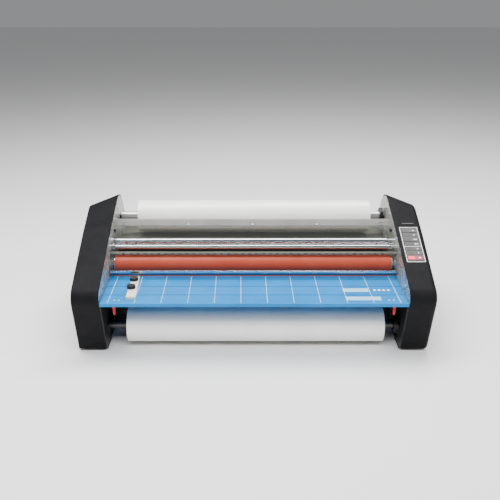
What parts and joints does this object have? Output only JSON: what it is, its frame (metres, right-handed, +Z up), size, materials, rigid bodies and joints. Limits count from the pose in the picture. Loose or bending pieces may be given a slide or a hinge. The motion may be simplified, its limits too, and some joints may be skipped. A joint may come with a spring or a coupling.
{
  "type": "roll laminator",
  "caption": "Wide desktop roll laminator: two film rolls, heated rollers behind a clear hinged shield, blue feed tray and two side housings with a keypad.",
  "frame": {"origin": "on the table, midway between the outer faces of the two housings and midway between the front bulge and the rear of the housings", "axes": "+X to the operator's right, -Y towards the operator, +Z up"},
  "size_m": [0.932, 0.5299, 0.3295],
  "materials": {
    "charcoal_housing": "fine satin texture",
    "zinc_plate": "spangled zinc",
    "grey_paint": "satin",
    "blue_paint": "satin",
    "black_steel": "satin black",
    "black_plastic": "matte",
    "chrome": "polished",
    "turned_steel": "turned",
    "red_silicone": "smooth matte",
    "black_rubber": "matte",
    "white_film": "wound clear film, milky",
    "core_board": "spiral wound",
    "clear_acrylic": "clear, glossy",
    "red_plastic": "gloss",
    "ivory_plastic": "satin",
    "quartz": "clear",
    "circuit_board": "solder mask",
    "key_dark": "satin",
    "key_red": "satin"
  },
  "bodies": {
    "frame": {"left_side_plate": "zinc_plate", "right_side_plate": "zinc_plate", "left_housing": "charcoal_housing", "right_housing": "charcoal_housing", "inner_covers": "black_plastic", "base_pan": "black_steel", "rear_cover": "grey_paint", "tie_bars": "turned_steel", "idler_bars": "chrome", "finger_guard": "grey_paint", "shield_rail": "grey_paint", "cover_screws": "chrome", "feet": "black_rubber", "shaft_saddles": "zinc_plate", "roller_bearings": "turned_steel", "heater_rods": "quartz", "drive_chain": "black_steel", "drive_motor": "grey_paint", "fan_frame": "black_plastic", "main_board": "circuit_board", "power_inlet": "black_plastic", "control_plate": "black_plastic", "key_board": "circuit_board", "shield_pivots": "black_plastic", "tray_supports": "black_steel"},
    "upper_supply": {"upper_supply_shaft": "turned_steel", "upper_film_core": "core_board", "upper_film_roll": "white_film", "upper_brake_hub": "black_plastic"},
    "lower_supply": {"lower_supply_shaft": "turned_steel", "lower_film_core": "core_board", "lower_film_roll": "white_film", "lower_brake_hub": "black_plastic"},
    "upper_heat": {"upper_heat_roller": "chrome", "upper_heat_sleeve": "red_silicone", "upper_heat_gear": "turned_steel"},
    "lower_heat": {"lower_heat_roller": "chrome", "lower_heat_sleeve": "red_silicone", "lower_heat_gear": "turned_steel"},
    "upper_pull": {"upper_pull_roller": "black_rubber", "upper_pull_gear": "turned_steel"},
    "lower_pull": {"lower_pull_roller": "black_rubber", "lower_pull_gear": "turned_steel"},
    "pinion": {"motor_pinion": "turned_steel"},
    "fan": {"fan_rotor": "black_plastic"},
    "shield": {"shield": "clear_acrylic"},
    "tray": {"feed_tray": "blue_paint"},
    "guide": {"side_guide": "ivory_plastic"},
    "front_knob": {"front_guide_knob": "black_plastic"},
    "rear_knob": {"rear_guide_knob": "black_plastic"},
    "left_tab": {"left_release_tab": "red_plastic"},
    "right_tab": {"right_release_tab": "red_plastic"},
    "switch": {"power_switch": "red_plastic"},
    "heat_up_key_body": {"heat_up_key": "key_dark"},
    "heat_down_key_body": {"heat_down_key": "key_dark"},
    "speed_up_key_body": {"speed_up_key": "key_dark"},
    "speed_down_key_body": {"speed_down_key": "key_dark"},
    "run_key_body": {"run_key": "key_dark"},
    "reverse_key_body": {"reverse_key": "key_dark"},
    "stop_key_body": {"stop_key": "key_red"}
  },
  "joints": [
    {"name": "upper_supply_spin", "type": "hinge", "parent": "frame", "child": "upper_supply", "pos_m": [0, 0.135, 0.262], "axis": [1, 0, 0], "continuous": true},
    {"name": "lower_supply_spin", "type": "hinge", "parent": "frame", "child": "lower_supply", "pos_m": [0, -0.1685, 0.0555], "axis": [1, 0, 0], "continuous": true},
    {"name": "lower_heat_spin", "type": "hinge", "parent": "frame", "child": "lower_heat", "pos_m": [0, -0.057, 0.13875], "axis": [1, 0, 0], "continuous": true},
    {"name": "upper_heat_spin", "type": "hinge", "parent": "frame", "child": "upper_heat", "pos_m": [0, -0.057, 0.18525], "axis": [1, 0, 0], "continuous": true},
    {"name": "upper_pull_spin", "type": "hinge", "parent": "frame", "child": "upper_pull", "pos_m": [0, 0.085, 0.18225], "axis": [1, 0, 0], "continuous": true},
    {"name": "lower_pull_spin", "type": "hinge", "parent": "frame", "child": "lower_pull", "pos_m": [0, 0.085, 0.14175], "axis": [1, 0, 0], "continuous": true},
    {"name": "pinion_spin", "type": "hinge", "parent": "frame", "child": "pinion", "pos_m": [0, -0.057, 0.10325], "axis": [1, 0, 0], "continuous": true},
    {"name": "fan_spin", "type": "hinge", "parent": "frame", "child": "fan", "pos_m": [0, 0.241, 0.075], "axis": [0, 1, 0], "continuous": true},
    {"name": "shield_hinge", "type": "hinge", "parent": "frame", "child": "shield", "pos_m": [0, 0.009, 0.258], "axis": [-1, 0, 0], "range_deg": [0, 78]},
    {"name": "tray_slide", "type": "slide", "parent": "frame", "child": "tray", "axis": [0, -1, 0], "range_m": [0, 0.2]},
    {"name": "guide_slide", "type": "slide", "parent": "tray", "child": "guide", "axis": [1, 0, 0], "range_m": [-0.05, 0.6]},
    {"name": "front_knob_turn", "type": "hinge", "parent": "guide", "child": "front_knob", "pos_m": [-0.317, -0.185, 0.1663], "axis": [0, 0, 1], "continuous": true},
    {"name": "rear_knob_turn", "type": "hinge", "parent": "guide", "child": "rear_knob", "pos_m": [-0.317, -0.132, 0.1663], "axis": [0, 0, 1], "continuous": true},
    {"name": "switch_rock", "type": "hinge", "parent": "frame", "child": "switch", "pos_m": [0.3, 0.255, 0.094], "axis": [1, 0, 0], "range_deg": [0, 12]},
    {"name": "left_tab_pivot", "type": "hinge", "parent": "tray", "child": "left_tab", "pos_m": [-0.354, -0.245, 0.149], "axis": [1, 0, 0], "range_deg": [-20, 0], "stiffness_Nm_per_rad": 0.05, "springref_deg": 5.73},
    {"name": "right_tab_pivot", "type": "hinge", "parent": "tray", "child": "right_tab", "pos_m": [0.354, -0.245, 0.149], "axis": [1, 0, 0], "range_deg": [-20, 0], "stiffness_Nm_per_rad": 0.05, "springref_deg": 5.73},
    {"name": "heat_up_key_press", "type": "slide", "parent": "frame", "child": "heat_up_key_body", "axis": [0, 0.3861, -0.9225], "range_m": [0, 0.0008], "stiffness_N_per_m": 600, "springref_m": -0.0006},
    {"name": "heat_down_key_press", "type": "slide", "parent": "frame", "child": "heat_down_key_body", "axis": [0, 0.3861, -0.9225], "range_m": [0, 0.0008], "stiffness_N_per_m": 600, "springref_m": -0.0006},
    {"name": "speed_up_key_press", "type": "slide", "parent": "frame", "child": "speed_up_key_body", "axis": [0, 0.3861, -0.9225], "range_m": [0, 0.0008], "stiffness_N_per_m": 600, "springref_m": -0.0006},
    {"name": "speed_down_key_press", "type": "slide", "parent": "frame", "child": "speed_down_key_body", "axis": [0, 0.3861, -0.9225], "range_m": [0, 0.0008], "stiffness_N_per_m": 600, "springref_m": -0.0006},
    {"name": "run_key_press", "type": "slide", "parent": "frame", "child": "run_key_body", "axis": [0, 0.3861, -0.9225], "range_m": [0, 0.0008], "stiffness_N_per_m": 600, "springref_m": -0.0006},
    {"name": "reverse_key_press", "type": "slide", "parent": "frame", "child": "reverse_key_body", "axis": [0, 0.3861, -0.9225], "range_m": [0, 0.0008], "stiffness_N_per_m": 600, "springref_m": -0.0006},
    {"name": "stop_key_press", "type": "slide", "parent": "frame", "child": "stop_key_body", "axis": [0, 0.3861, -0.9225], "range_m": [0, 0.0008], "stiffness_N_per_m": 600, "springref_m": -0.0006}
  ],
  "couplings": [
    {"joint": "upper_heat_spin", "follows": "lower_heat_spin", "ratio": -1},
    {"joint": "pinion_spin", "follows": "lower_heat_spin", "ratio": -1.9167},
    {"joint": "lower_pull_spin", "follows": "lower_heat_spin", "ratio": 1.15},
    {"joint": "upper_pull_spin", "follows": "lower_heat_spin", "ratio": -1.15}
  ]
}
